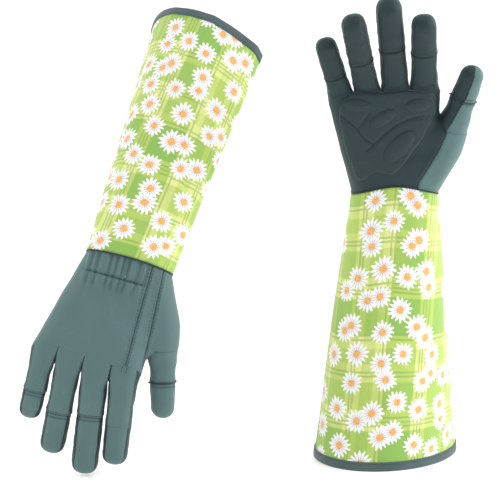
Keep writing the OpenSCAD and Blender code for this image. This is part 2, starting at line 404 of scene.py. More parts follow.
# The second colour of each woven cloth is painted shade for its thread gaps and the tone of its random
# blotches.
CUFF_LINING = woven("cuff_lining", colour(236, 238, 226), colour(205, 210, 190), 1.6, 0.2)
BINDING_TAPE = woven("binding_tape", colour(84, 104, 106), colour(46, 60, 62), 1.4, 0.3)
ELASTIC = woven("elastic", colour(225, 226, 220), colour(178, 180, 174), 0.9, 0.1)
SEAM_THREAD = thread_material("seam_thread", colour(52, 72, 72), colour(30, 44, 46))
HEM_THREAD = thread_material("hem_thread", colour(74, 96, 96), colour(44, 60, 62))

# ---- Frames of the hands and fingers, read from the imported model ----


def node_points(name):
    mesh = frame["nodes"][name].data
    points = np.empty(len(mesh.vertices) * 3)
    mesh.vertices.foreach_get("co", points)
    return points.reshape(-1, 3) / MM


def unit(vector):
    return vector / np.linalg.norm(vector)


class Axes:
    """A frame of its own in millimetres: origin and three unit vectors in the glove's or room's frame"""

    def __init__(self, origin, x, z):
        self.origin = np.array(origin, float)
        self.x = unit(np.array(x, float))
        self.z = unit(np.array(z, float) - self.x * np.dot(z, self.x))
        self.y = np.cross(self.z, self.x)
        self.turn = np.array([self.x, self.y, self.z])

    def inward(self, points):
        return (np.atleast_2d(points) - self.origin) @ self.turn.T

    def outward(self, points):
        return np.atleast_2d(points) @ self.turn + self.origin

    def direction_in(self, vector):
        return self.turn @ np.array(vector, float)


def read_hand(glove):
    joint = JOINTS[f"{glove}_wrist"]
    wrist = np.array(joint["pos_m"]) / MM
    axis = np.array(joint["axis"], float)
    middle = np.array(JOINTS[f"{glove}_middle_root"]["pos_m"]) / MM
    return Axes(wrist, axis, middle - wrist + 2.4 * axis)


def read_digit(glove, digit, hand):
    """Hinge, direction, length and radii of a finger stall, in the hand's frame"""
    joint = JOINTS[f"{glove}_{digit}_root"]
    hinge = hand.inward(np.array(joint["pos_m"]) / MM)[0]
    axis = hand.direction_in(joint["axis"])
    tip = hand.inward(node_points(f"{glove}_{digit}_tip"))
    front = hand.inward(node_points(f"{glove}_{digit}_front"))
    axes = Axes(hinge, axis, tip.mean(0) - hinge)
    tip = axes.inward(tip)
    front = axes.inward(front)
    seam = tip[:, 2].min()
    reach = tip[:, 2].max()
    at_root = front[np.abs(front[:, 2]) < 3]
    at_seam = front[front[:, 2] > seam - 1]
    root_r = np.hypot(at_root[:, 0], at_root[:, 1]).max() if len(at_root) else 12.0
    seam_r = np.hypot(at_seam[:, 0], at_seam[:, 1]).max()
    slope = (seam_r - root_r) / seam
    length = (reach - root_r) / (1 + slope)
    return {"axes": axes, "root_r": root_r, "tip_r": root_r + slope * length, "length": length}


# ---- Mesh helpers, all in a hand's millimetres ----

def smooth(value):
    value = np.clip(value, 0, 1)
    return value * value * (3 - 2 * value)


def put_in_room(points, hand):
    return hand.outward(points) * MM


def make_object(name, points, faces, hand, material, seam=None):
    mesh = bpy.data.meshes.new(name)
    mesh.from_pydata(put_in_room(points, hand).tolist(), [], [list(f) for f in faces])
    mesh.validate()
    if seam is not None:
        attribute = mesh.attributes.new("Seam", "FLOAT", "POINT")
        attribute.data.foreach_set("value", np.asarray(seam, np.float32))
    mesh.polygons.foreach_set("use_smooth", [True] * len(mesh.polygons))
    mesh.materials.append(material)
    piece = bpy.data.objects.new(name, mesh)
    bpy.context.collection.objects.link(piece)
    return piece


def point_normals(points, faces):
    """Area-weighted vertex normals of a mesh of triangles and quads"""
    normals = np.zeros_like(points)
    for corners in (3, 4):
        chosen = [f for f in faces if len(f) == corners]
        if not chosen:
            continue
        index = np.array(chosen)
        if corners == 3:
            face = np.cross(points[index[:, 1]] - points[index[:, 0]],
                            points[index[:, 2]] - points[index[:, 0]])
        else:
            face = np.cross(points[index[:, 2]] - points[index[:, 0]],
                            points[index[:, 3]] - points[index[:, 1]])
        for corner in range(corners):
            np.add.at(normals, index[:, corner], face)
    for f in faces:
        if len(f) > 4:
            a, b, c = points[f[0]], points[f[len(f) // 3]], points[f[2 * len(f) // 3]]
            normals[list(f)] += np.cross(b - a, c - a)
    length = np.linalg.norm(normals, axis=1)
    length[length == 0] = 1
    return normals / length[:, None]


def shell(points, faces, thickness, normals=None):
    """Gives a skin its thickness inward and closes its open edges"""
    if normals is None:
        normals = point_normals(points, faces)
    count = len(points)
    both = np.vstack([points, points - normals * thickness])
    made = [tuple(f) for f in faces] + [tuple(i + count for i in reversed(f)) for f in faces]
    used = {}
    for f in faces:
        for i, a in enumerate(f):
            b = f[(i + 1) % len(f)]
            used[(a, b)] = used.get((a, b), 0) + 1
    for (a, b) in list(used):
        if (b, a) not in used:
            made.append((b, a, a + count, b + count))
    return both, made


def skin_piece(name, points, faces, thickness, hand, material, seam, normals=None):
    """A skin with its thickness, as an object whose seams are marked"""
    solid, solid_faces = shell(points, faces, thickness, normals)
    return make_object(name, solid, solid_faces, hand, material, np.tile(seam, 2))


def relax(points, edges, rounds):
    count = np.zeros(len(points))
    np.add.at(count, edges.ravel(), 1)
    for _ in range(rounds):
        total = np.zeros_like(points)
        np.add.at(total, edges[:, 0], points[edges[:, 1]])
        np.add.at(total, edges[:, 1], points[edges[:, 0]])
        points = points + 0.5 * (total / count[:, None] - points)
    return points


# ---- Hand body ----

HAND_VOXEL = 1.35        # millimetres between the points of the leather
LEATHER = 1.2
THUMB_BASE = (43, -3, 45)
WEB = (17, 0, 58)
WRIST_SIDE = 18
WRIST_BALL = 19.6


def hull_of_balls(balls):
    made = bmesh.new()
    for centre, radius in balls:
        bmesh.ops.create_icosphere(made, subdivisions=3, radius=radius,
                                   matrix=Matrix.Translation(Vector(centre)))
    result = bmesh.ops.convex_hull(made, input=made.verts)
    unused = list({*result["geom_interior"], *result["geom_unused"]})
    bmesh.ops.delete(made, geom=[g for g in unused if isinstance(g, bmesh.types.BMVert)],
                     context="VERTS")
    return made


def hand_body(digits):
    """The closed form of palm, back and thumb mount, evenly meshed and smoothed"""
    ball = {d: (tuple(v["axes"].origin), v["root_r"] + 2.0) for d, v in digits.items()}
    waist = [((-WRIST_SIDE, 0, 2), WRIST_BALL), ((WRIST_SIDE, 0, 2), WRIST_BALL)]
    tube = [((-WRIST_SIDE, 0, -16), WRIST_BALL), ((WRIST_SIDE, 0, -16), WRIST_BALL)]
    base = (THUMB_BASE, 15.6)
    heel = [((-31, -3, 34), 15.0), ((26, -4, 36), 16.0)]
    groups = [waist + tube,
              waist + heel,
              waist + [heel[0], ball["pinky"], ball["ring"]],
              waist + [ball["ring"], ball["middle"]],
              waist + [ball["middle"], ball["index"]],
              waist + [base, (WEB, 13.6)],
              [base, ball["thumb"]],
              [base, (WEB, 13.2), ball["thumb"]]]
    whole = bmesh.new()
    for balls in groups:
        part = hull_of_balls(balls)
        scrap = bpy.data.meshes.new("hull")
        part.to_mesh(scrap)
        part.free()
        whole.from_mesh(scrap)
        bpy.data.meshes.remove(scrap)
    mesh = bpy.data.meshes.new("hand_body")
    whole.to_mesh(mesh)
    whole.free()
    piece = bpy.data.objects.new("hand_body", mesh)
    bpy.context.collection.objects.link(piece)
    remesh = piece.modifiers.new("even", "REMESH")
    remesh.mode = "VOXEL"
    remesh.voxel_size = HAND_VOXEL
    shaped = piece.evaluated_get(bpy.context.evaluated_depsgraph_get()).to_mesh()
    points = np.empty(len(shaped.vertices) * 3)
    shaped.vertices.foreach_get("co", points)
    points = points.reshape(-1, 3)
    edges = np.empty(len(shaped.edges) * 2, int)
    shaped.edges.foreach_get("vertices", edges)
    faces = [tuple(p.vertices) for p in shaped.polygons]
    piece.to_mesh_clear()
    bpy.data.objects.remove(piece)
    bpy.data.meshes.remove(mesh)
    points = relax(points, edges.reshape(-1, 2), 26)
    return points, faces


GATHER_FROM = -5         # folds run from the cuff seam to the elastic line and fade past it
ELASTIC_AT = 16.5
ELASTIC_HALF = 2.8       # half of the elastic's width
GATHER_END = 42
FOLD_WIDE = 6.6


def gather_back(points, normals):
    """Folds that the wrist elastic draws in the back leather"""
    x, y, z = points.T
    wobble = 1.6 * np.sin(x * 0.21 + 1.1) + 0.9 * np.sin(x * 0.47)
    fold = 0.5 + 0.5 * np.cos(2 * np.pi * (x + wobble) / FOLD_WIDE)
    back = smooth((y - 1) / 7) * smooth((21 - x) / 5) * smooth((x + 38) / 6)
    under = smooth((z - GATHER_FROM + 6) / 5) * smooth((ELASTIC_AT + 1.5 - z) / 3)
    over = smooth((z - ELASTIC_AT) / 2.5) * smooth((GATHER_END - z) / (GATHER_END - 19)) ** 2
    lift = 2.3 * (fold - 0.5) * under + 2.6 * (fold - 0.5) * over
    pinch = -1.7 * np.exp(-((z - ELASTIC_AT) / 1.6) ** 2)
    lift = back * (lift + pinch + 0.6 * under + 1.2 * over * smooth((34 - z) / 14))
    return points + normals * lift[:, None]


def seam_rise(points):
    """Height of the cuff seam at each point's place around the wrist"""
    x, y, _ = points.T
    turn = np.arctan2(y / WRIST_DEEP, x / WRIST_WIDE)
    return np.sin(turn) ** 2 * np.where(y > 0, SEAM_BACK, SEAM_PALM)


def tuck_wrist(points):
    """The leather below the cuff seam leans in, so that it stays inside the cuff"""
    depth = np.clip(seam_rise(points) - points[:, 2] - 0.3, 0, 7)
    out = points * [1, 1, 0]
    out /= np.maximum(np.linalg.norm(out, axis=1, keepdims=True), 1)
    return points - out * (0.62 * depth)[:, None]


def soft_dents(points, normals, amount, size):
    lift = [noise.noise(Vector(p) / size) for p in points]
    return points + normals * (amount * np.array(lift))[:, None]


# ---- Cutting the hand into its panels ----

SIDE_SEAM_Y = -2.0       # the palm and back meet a little on the palm side
SADDLE_SEAM = [(12.5, -30), (19.6, 19.8), (36, 49), (44, 72), (52, 96)]
STRIP_INNER = [(20.8, -30), (20.8, 30), (22, 125)]
STRIP_OUTER = [(31, -30), (31, 0), (34.8, 62), (38, 125)]
WRIST_LEAN = np.array([0, 0.414, 0.910])
WRIST_CUT = -3
BLEND_START = 6.4
BLEND_END = 28.4
CROTCH_RISE = -2.0       # the slits between the fingers run deeper on the back than on the palm
CROTCH_SLOPE = 0.52
THUMB_CUT = 3.5


def line_x(line, z):
    return np.interp(z, [p[1] for p in line], [p[0] for p in line])


def face_panel(centre):
    x, y, z = centre
    if y < SIDE_SEAM_Y:
        return "thumb_saddle" if x > line_x(SADDLE_SEAM, z) else "palm_panel"
    if x > line_x(STRIP_OUTER, z):
        return "thumb_saddle"
    return "side_strip" if x > line_x(STRIP_INNER, z) else "back_panel"


def bisect(made, keep_face, place, normal, clear=False):
    faces = [f for f in made.faces if keep_face(f.calc_center_median())]
    geom = set(faces)
    for f in faces:
        geom.update(f.edges)
        geom.update(f.verts)
    bmesh.ops.bisect_plane(made, geom=list(geom), plane_co=Vector(place),
                           plane_no=Vector(normal), clear_outer=clear, dist=0.02)


def cut_along(made, line, keep_face):
    for (x0, z0), (x1, z1) in zip(line, line[1:]):
        bisect(made, lambda c: keep_face(c) and z0 - 3 <= c.z <= z1 + 3,
               (x0, 0, z0), (z1 - z0, 0, x0 - x1))


def finger_cells(digits):
    """Crotch points between the fingers, and the plane each finger grows from"""
    hinges = [digits[f]["axes"].origin for f in FINGERS]
    crotches = []
    for left, right in zip(hinges, hinges[1:]):
        middle = (left + right) / 2
        crotches.append(np.array([middle[0], 0, middle[2] + CROTCH_RISE]))
    first = digits["pinky"]["axes"]
    last = digits["index"]["axes"]
    outer_left = crotches[0] - first.x * (2 * first.x.dot(crotches[0] - hinges[0])) * [1, 0, 1]
    outer_right = crotches[2] - last.x * (2 * last.x.dot(crotches[2] - hinges[3])) * [1, 0, 1]
    ends = [outer_left] + crotches + [outer_right]
    cells = {}
    for i, finger in enumerate(FINGERS):
        a, b = ends[i], ends[i + 1]
        normal = unit(np.array([a[2] - b[2], CROTCH_SLOPE * (b[0] - a[0]), b[0] - a[0]]))
        cells[finger] = {"left": a, "right": b, "normal": normal,
                         "sides": (a if i else None, b if i < 3 else None)}
    return cells


def divide_hand(points, faces, digits, cells):
    made = bmesh.new()
    verts = [made.verts.new(p) for p in points]
    for f in faces:
        made.faces.new([verts[i] for i in f])
    made.normal_update()
    bisect(made, lambda c: c.z < 25, (0, 0, 0) + WRIST_LEAN * WRIST_CUT, -WRIST_LEAN, True)
    for finger in FINGERS[:-1]:
        split = cells[finger]["right"]
        bisect(made, lambda c: c.z > 66 and abs(c.x - split[0]) < 12, split, (1, 0, 0))
    for finger in FINGERS:
        cell = cells[finger]
        low = cell["left"][0] if cell["sides"][0] is not None else -200
        high = cell["right"][0] if cell["sides"][1] is not None else 200
        bisect(made, lambda c: c.z > 70 and low <= c.x <= high, cell["left"], cell["normal"], True)
    thumb = digits["thumb"]["axes"]
    bound = digits["thumb"]["root_r"] + 2.15
    bisect(made, lambda c: (c - Vector(thumb.origin)).length < bound and
           Vector(thumb.z).dot(c - Vector(thumb.origin)) > -6,
           thumb.origin + thumb.z * THUMB_CUT, thumb.z, True)
    bisect(made, lambda c: True, (0, SIDE_SEAM_Y, 0), (0, 1, 0))
    cut_along(made, SADDLE_SEAM, lambda c: c.y < SIDE_SEAM_Y)
    cut_along(made, STRIP_INNER, lambda c: c.y > SIDE_SEAM_Y)
    cut_along(made, STRIP_OUTER, lambda c: c.y > SIDE_SEAM_Y)
    made.verts.ensure_lookup_table()
    made.verts.index_update()
    out = np.array([v.co for v in made.verts])
    cut_faces = [tuple(v.index for v in f.verts) for f in made.faces]
    names = [face_panel(f.calc_center_median()) for f in made.faces]
    seams = set()
    for edge in made.edges:
        kinds = {names_of for names_of in (face_panel(f.calc_center_median())
                                          for f in edge.link_faces)}
        if len(kinds) > 1:
            seams.update(v.index for v in edge.verts)
    made.free()
    return out, cut_faces, names, sorted(seams)


def seam_relief(points, normals, lines):
    """Leather dips into each seam and swells on both sides of it"""
    tree = KDTree(len(lines))
    for i, p in enumerate(lines):
        tree.insert(Vector(p), i)
    tree.balance()
    away = np.array([tree.find(Vector(p))[2] for p in points])
    lift = -0.6 * np.exp(-(away / 0.9) ** 2) + 0.38 * np.exp(-((away - 2.6) / 1.4) ** 2)
    return points + normals * lift[:, None], 0.7 * np.exp(-(away / 0.7) ** 2)


def pick(points, faces, chosen, normals, seam):
    """The points and faces of one panel, renumbered"""
    kept = [f for f, use in zip(faces, chosen) if use]
    used = sorted({i for f in kept for i in f})
    index = {old: new for new, old in enumerate(used)}
    return (points[used], [tuple(index[i] for i in f) for f in kept], normals[used], seam[used])


# ---- Finger and thumb stalls ----

COLUMNS = 56
SEAM_COLUMNS = {"finger": (6, 22, 34, 50), "thumb": (28, 42)}
TIP_SEAMS = {
    "standing": {"pinky": 23, "ring": 37.5, "middle": 44.5, "index": 42.5, "thumb": 33},
    "reaching": {"pinky": 35, "ring": 46, "middle": 38, "index": 41.5, "thumb": 32},
}
TIP_SEAM_DEPTH = {("reaching", "index"): 0.1}
STALL_WIDE = {"standing": 1.04, "reaching": 1.09}     # a stall is wider than it is thick
SECOND_STITCH = 3.0
BEND_LENGTH = 17


def stall_skin(glove, digit, spec, body, cell):
    """Point grid of a stall from its root ring to its tip, in the hand's millimetres"""
    axes = spec["axes"]
    length, tip_r = spec["length"], spec["tip_r"]
    thumb = digit == "thumb"
    normal = axes.z if thumb else cell["normal"]
    level = THUMB_CUT if thumb else (cell["left"] - axes.origin).dot(normal) / axes.z.dot(normal)
    twist = math.radians(-29) if thumb else 0
    angles = np.arange(COLUMNS) * 2 * math.pi / COLUMNS

    def root(angle, rise=0.0):
        centre = axes.origin + axes.z * (level + rise)
        flat = axes.x * math.cos(angle) + axes.y * math.sin(angle)
        way = flat - axes.z * (flat.dot(normal) / axes.z.dot(normal))
        hit = body.ray_cast(Vector(centre), Vector(way))
        reach = hit[3] / np.linalg.norm(way) if hit[0] else spec["root_r"] + 1.5
        if thumb:
            return min(reach, spec["root_r"] + 1.6) - 0.25, level + rise
        for side, sign in zip(cell["sides"], (-1, 1)):
            if side is not None and way[0] * sign > 1e-6:
                reach = min(reach, ((side[0] - centre[0]) * sign - 0.12) / (way[0] * sign))
        return reach, level + rise + reach * way.dot(axes.z)

    ring = [root(a + twist) for a in angles]
    root_r = np.array([r[0] for r in ring])
    root_z = np.array([r[1] for r in ring])
    tip_seam = TIP_SEAMS[glove][digit]
    rows = list(np.linspace(level, tip_seam, max(6, int((tip_seam - level) / 1.5))))
    rows += [tip_seam + SECOND_STITCH / 2, tip_seam + SECOND_STITCH]
    rows += list(np.linspace(rows[-1], length, max(4, int((length - rows[-1]) / 1.6))))[1:]
    seam_row = rows.index(tip_seam)
    lead = [level - 6, level - 2.5] if thumb else [level - 1.6]
    dome = [tip_r * math.sin(a) for a in np.linspace(0, math.pi / 2, 11)[1:]]
    grid, seam = [], []
    seam_columns = SEAM_COLUMNS["thumb" if thumb else "finger"]
    for s in lead + rows + [length + d for d in dome]:
        inside = min(max(s, level), length)
        grow = smooth((inside - level) / 17)
        rise = 0 if thumb else min(inside - level, 4.5)
        near_root = root_r if rise == 0 else np.array([root(a + twist, rise)[0] for a in angles])
        radius = spec["root_r"] + (tip_r - spec["root_r"]) * inside / length
        radius *= 1 - 0.035 * math.exp(-((inside / length - 0.42) / 0.14) ** 2)
        if s > length:
            radius *= max(1 - ((s - length) / tip_r) ** 2.15, 0) ** (1 / 2.15)
        line, lines_seam = [], []
        for j, angle in enumerate(angles):
            turned = angle + twist * (1 - smooth(inside / length))
            c, d = math.cos(turned), math.sin(turned)
            square = (abs(c) ** 2.3 + abs(d) ** 2.3) ** (-1 / 2.3)
            flat = radius * square * (1 - 0.06 * abs(d))
            away = min(min(abs(j - k), COLUMNS - abs(j - k)) for k in seam_columns)
            ridge = smooth((s - level - 2) / 7) * smooth((length + 0.75 * tip_r - s) / 6)
            lift = 0.42 * ridge if away == 0 else 0
            if not thumb and (j <= 5 or j >= 51 or 23 <= j <= 33):
                lift -= 0.55 * ridge * min(away, 2) / 2
            mark = ridge if away == 0 else 0
            depth = TIP_SEAM_DEPTH.get((glove, digit), 1)
            for at, strength in ((tip_seam, 1.0), (tip_seam + SECOND_STITCH, 0.7)):
                near = math.exp(-((s - at) / 0.8) ** 2) * strength * depth
                lift -= 0.38 * near
                mark = max(mark, near * 0.6)
            lift += 0.3 * math.exp(-((s - tip_seam + 2.4) / 1.8) ** 2) * depth
            if s < level:
                here = root_r[j] - (0.9 if not thumb else 2.4)
                high = s if thumb else root_z[j] - 1.6
            else:
                here = near_root[j] * (1 - grow) + flat * grow + lift
                high = s + (root_z[j] - level) * (1 - smooth((inside - level) / 17))
            spot = np.array([here * c, here * d - 1.6 * (inside / length) ** 2 * (s > level), high])
            if not thumb:
                spot[0] *= 1 + (STALL_WIDE[glove] - 1) * grow
            if s > level + 1:
                bump = noise.noise(Vector(spot + axes.origin * 3) / 9)
                fade = smooth((s - level - 1) / 6) * (0.55 if s < length else 0.3)
                spot[:2] *= 1 + bump * fade / max(here, 3)
            line.append(spot)
            lines_seam.append(mark)
        grid.append(line)
        seam.append(lines_seam)
    grid = axes.outward(np.array(grid).reshape(-1, 3)).reshape(len(grid), COLUMNS, 3)
    return {"grid": grid, "seam": np.array(seam), "tip_row": seam_row + len(lead),
            "start": float(max(root_z.max(), level))}


def grid_faces(first_row, last_row, first, last):
    """Quads of a stall's grid between two rows and two columns"""
    made = []
    for r in range(first_row, last_row):
        for c in range(first, last):
            a, b = c % COLUMNS, (c + 1) % COLUMNS
            made.append((r * COLUMNS + a, r * COLUMNS + b,
                         (r + 1) * COLUMNS + b, (r + 1) * COLUMNS + a))
    return made


def stall_pieces(digit, skin):
    """Cuts a stall's skin into front, back, fourchettes and tip"""
    rows = len(skin["grid"])
    points = skin["grid"].reshape(-1, 3)
    seam = skin["seam"].reshape(-1)
    tip = skin["tip_row"]
    all_faces = grid_faces(0, rows - 1, 0, COLUMNS)
    normals = point_normals(points, all_faces)
    centre = points[-COLUMNS:].mean(0)
    normals[-COLUMNS:] = unit(centre - points[:COLUMNS].mean(0))
    if digit == "thumb":
        spans = {"front": [(28, 42)], "back": [(42, 84)]}
    else:
        spans = {"back": [(6, 22)], "front": [(34, 50)], "gusset": [(22, 34), (50, 62)]}
    made = {}
    for part, columns in spans.items():
        faces = []
        for first, last in columns:
            faces += grid_faces(0, tip, first, last)
        made[part] = (points, faces, normals, seam)
    faces = grid_faces(tip, rows - 1, 0, COLUMNS)
    made["tip"] = (points, faces, normals, seam)
    return {part: pick(p, f, [True] * len(f), n, s) for part, (p, f, n, s) in made.items()}


def tint_tip(piece, digit, axes, hand):
    """The tip continues the front, back and fourchette leathers past its seam"""
    for material in (BACK_LEATHER, GUSSET_LEATHER):
        piece.data.materials.append(material)
    for face in piece.data.polygons:
        spot = axes.inward(hand.inward(np.array(face.center) / MM))[0]
        turn = math.degrees(math.atan2(spot[1], spot[0])) % 360
        if digit == "thumb":
            face.material_index = 0 if 180 <= turn <= 270 else 1
        elif 38.6 < turn < 141.4:
            face.material_index = 1
        elif not 218.6 < turn < 321.4:
            face.material_index = 2


STALL_LEATHER = {"front": PALM_LEATHER, "back": BACK_LEATHER, "gusset": GUSSET_LEATHER,
                 "tip": PALM_LEATHER}
STALL_SLOT = {"front": "palm_leather", "back": "back_leather", "gusset": "gusset_leather",
              "tip": "palm_leather"}


# ---- Sewing thread ----

STITCH = 2.2
STITCH_STEP = 3.0
THREAD = 0.30


def capsule(start, end, normal, radius, points, faces):
    """One stitch as a small six-sided bead"""
    along = unit(end - start)
    side = unit(np.cross(normal, along))
    up = np.cross(along, side)
    first = len(points)
    for t, share in ((0, 0.35), (0.18, 1), (0.82, 1), (1, 0.35)):
        centre = start + (end - start) * t + normal * radius * (0.5 if share == 1 else 0.1)
        for k in range(6):
            turn = k * math.pi / 3
            points.append(centre + (side * math.cos(turn) + up * math.sin(turn)) * radius * share)
    for ring in range(3):
        for k in range(6):
            a, b = first + ring * 6 + k, first + ring * 6 + (k + 1) % 6
            faces.append((a, b, b + 6, a + 6))
    faces.append(tuple(first + k for k in reversed(range(6))))
    faces.append(tuple(first + 18 + k for k in range(6)))


def sew(path, normals, points, faces, radius=THREAD, closed=False):
    """Stitches along a line of surface points"""
    path = np.array(path)
    normals = np.array(normals)
    if closed:
        path = np.vstack([path, path[:1]])
        normals = np.vstack([normals, normals[:1]])
    steps = np.linalg.norm(np.diff(path, axis=0), axis=1)
    run = np.concatenate([[0], np.cumsum(steps)])
    at = 0.4
    while at + STITCH < run[-1]:
        ends = [np.array([np.interp(v, run, path[:, k]) for k in range(3)])
                for v in (at, at + STITCH)]
        up = unit(np.array([np.interp(at + STITCH / 2, run, normals[:, k]) for k in range(3)]))
        capsule(ends[0], ends[1], up, radius, points, faces)
        at += STITCH_STEP


def tube(path, normals, radius, points, faces, sides=8, closed=True):
    """A thin welt or cord along a line"""
    first = len(points)
    count = len(path)
    for i in range(count):
        before = path[(i - 1) % count] if closed else path[max(i - 1, 0)]
        after = path[(i + 1) % count] if closed else path[min(i + 1, count - 1)]
        along = unit(after - before)
        side = unit(np.cross(along, normals[i]))
        up = np.cross(side, along)
        for k in range(sides):
            turn = 2 * math.pi * k / sides
            points.append(path[i] + (side * math.cos(turn) + up * math.sin(turn)) * radius)
    for i in range(count if closed else count - 1):
        for k in range(sides):
            a = first + i * sides
            b = first + ((i + 1) % count) * sides
            faces.append((a + k, a + (k + 1) % sides, b + (k + 1) % sides, b + k))
    if not closed:
        faces.append(tuple(first + k for k in reversed(range(sides))))
        faces.append(tuple(first + (count - 1) * sides + k for k in range(sides)))


# ---- Palm overlay and pads ----

OVERLAY = [(-46, 98), (-34, 102.5), (-20, 102), (-2, 104), (14, 104), (28, 101), (31.5, 92),
           (31, 82), (25, 71), (21, 61), (12, 48), (4, 36), (-4, 28.5), (-13, 29.5),
           (-22, 29.5), (-33, 21), (-42, 40), (-48, 62), (-51, 84)]
OVERLAY_CENTRE = (-10, 66)
OVERLAY_RISE = 1.3
OVERLAY_THICK = 0.9
CHANNELS = [[(31, 81), (20, 82), (10, 79.5), (0, 75), (-8, 69), (-19.5, 57), (-27, 50)],
            [(-51, 83), (-42, 76), (-36, 69), (-30, 77), (-25, 85)],
            [(-36, 69), (-30, 61), (-22, 56)]]
# Islands of padding: centre x and z, half length, half width, tilt in degrees, rise
PADS = [(-36, 92, 12.5, 5.4, -4, 2.7), (16, 92, 11.5, 6, 4, 2.7), (-14, 80, 13.5, 6, 33, 2.9),
        (1, 54, 19, 8.5, 50, 3.2), (-34, 44, 9, 6, 62, 0.7)]
PAD_ROWS = 12
PAD_COLUMNS = 48
PAD_THICK = 0.5
PAD_FULLNESS = 0.8       # share of the rise in PADS that an island reaches


def closed_curve(corners, count, centre):
    """Distance of a rounded outline from its centre, for evenly spaced directions"""
    loop = np.array(corners, float) - centre
    fine = []
    number = len(loop)
    for i in range(number):
        p0, p1, p2, p3 = (loop[(i + k - 1) % number] for k in range(4))
        for t in np.linspace(0, 1, 12, endpoint=False):
            fine.append(0.5 * (2 * p1 + (p2 - p0) * t + (2 * p0 - 5 * p1 + 4 * p2 - p3) * t * t +
                               (3 * p1 - p0 - 3 * p2 + p3) * t ** 3))
    fine = np.array(fine)
    angle = np.arctan2(fine[:, 1], fine[:, 0])
    order = np.argsort(angle)
    turn = np.linspace(-math.pi, math.pi, count, endpoint=False)
    return turn, np.interp(turn, angle[order], np.hypot(*fine[order].T), period=2 * math.pi)


def disc_faces(rows, columns, first=0):
    """Faces of a centre point followed by rings"""
    made = [(first, first + 1 + (k + 1) % columns, first + 1 + k) for k in range(columns)]
    for r in range(rows - 1):
        a, b = first + 1 + r * columns, first + 1 + (r + 1) * columns
        for k in range(columns):
            n = (k + 1) % columns
            made.append((a + k, a + n, b + n, b + k))
    return made


def line_distance(x, z, line):
    point = np.array([x, z])
    best = 1e9
    for a, b in zip(line, line[1:]):
        a, b = np.array(a, float), np.array(b, float)
        t = np.clip((point - a).dot(b - a) / (b - a).dot(b - a), 0, 1)
        best = min(best, np.linalg.norm(point - a - (b - a) * t))
    return best


def face_spot(body, x, z, side):
    """Point and normal of the leather: side is -1 on the palm and 1 on the back"""
    hit = body.ray_cast(Vector((x, 90 * side, z)), Vector((0, -side, 0)))
    if hit[0] is None:
        hit = body.find_nearest(Vector((x, 18 * side, z)))
    return np.array(hit[0]), np.array(hit[1])


def palm_spot(body, x, z):
    return face_spot(body, x, z, -1)


def back_spot(body, x, z):
    return face_spot(body, x, z, 1)


def overlay_height(x, z):
    rise = OVERLAY_RISE
    for line in CHANNELS:
        rise -= 1.2 * math.exp(-(line_distance(x, z, line) / 1.5) ** 2)
    return max(rise, 0.1)


def overlay_skin(body):
    rows, columns = 34, 120
    turn, reach = closed_curve(OVERLAY, columns, np.array(OVERLAY_CENTRE, float))
    points, seam = [], []
    for r in range(rows + 1):
        for k in range(1 if r == 0 else columns):
            share = r / rows
            x = OVERLAY_CENTRE[0] + math.cos(turn[k]) * reach[k] * share
            z = OVERLAY_CENTRE[1] + math.sin(turn[k]) * reach[k] * share
            spot, normal = palm_spot(body, x, z)
            edge = (1 - share) * reach[k]
            high = overlay_height(x, z) * smooth(edge / 1.6) - 0.9 * (share == 1)
            points.append(spot + normal * high)
            away = min(line_distance(x, z, line) for line in CHANNELS)
            seam.append(max(0.9 * math.exp(-(away / 0.9) ** 2), math.exp(-(edge / 1.2) ** 2)))
    return np.array(points), disc_faces(rows, columns), np.array(seam)


def pad_profile(half_long, half_wide):
    """A padded island laid flat: the sideways place of each point, and a dome's share of the rise"""
    flat = [(0.0, 0.0)]
    for r in range(1, PAD_ROWS + 1):
        share = math.sin(math.pi / 2 * r / PAD_ROWS)
        for k in range(PAD_COLUMNS):
            turn = 2 * math.pi * k / PAD_COLUMNS
            flat.append((half_long * share * math.cos(turn), half_wide * share * math.sin(turn)))
    flat = np.array(flat)
    size = np.hypot(flat[:, 0] / half_long, flat[:, 1] / half_wide)
    return flat, PAD_FULLNESS * np.clip(1 - size ** 2.4, 0, 1) ** 0.62


def pads_skin(body):
    points, faces, seam = [], [], []
    for pad in PADS:
        x0, z0, half_long, half_wide, tilt, rise = pad
        flat, high = pad_profile(half_long, half_wide)
        c, s = math.cos(math.radians(tilt)), math.sin(math.radians(tilt))
        first = len(points)
        for i, (along, across) in enumerate(flat):
            x, z = x0 + along * c - across * s, z0 + along * s + across * c
            spot, normal = palm_spot(body, x, z)
            rim = i >= len(flat) - PAD_COLUMNS
            base = overlay_height(x, z) - (1.0 if rim else 0)
            points.append(spot + normal * (base + rise * high[i] + 0.05))
            size = math.hypot(along / half_long, across / half_wide)
            seam.append(0.95 * math.exp(-(((1 - size) * half_wide) / 0.9) ** 2))
        faces += disc_faces(PAD_ROWS, PAD_COLUMNS, first)
    return np.array(points), faces, np.array(seam)


# ---- Cuffs ----

CUFF_COLUMNS = 128
CUFF_ROWS = 84
SLEEVE = 0.8
TAPE_WIDE = 7.8
SEAM_PALM = 15.5         # how far the cuff reaches up the palm and down the back
SEAM_BACK = -3.5
WRIST_WIDE = 37.5
WRIST_DEEP = 20
RING_POINTS = 720


def wrist_ring(body):
    """Line where the cuff is sewn on, just outside the leather"""
    made = []
    for i in range(RING_POINTS):
        turn = 2 * math.pi * i / RING_POINTS
        way = np.array([WRIST_WIDE * math.cos(turn), WRIST_DEEP * math.sin(turn), 0])
        rise = math.sin(turn) ** 2 * (SEAM_BACK if math.sin(turn) > 0 else SEAM_PALM)
        hit = body.ray_cast(Vector((0, 0, rise)), Vector(way).normalized())
        made.append(np.array(hit[0]) + unit(way) * 1.0)
    made = np.array(made)
    for _ in range(30):
        made = 0.5 * made + 0.25 * (np.roll(made, 1, 0) + np.roll(made, -1, 0))
    return made


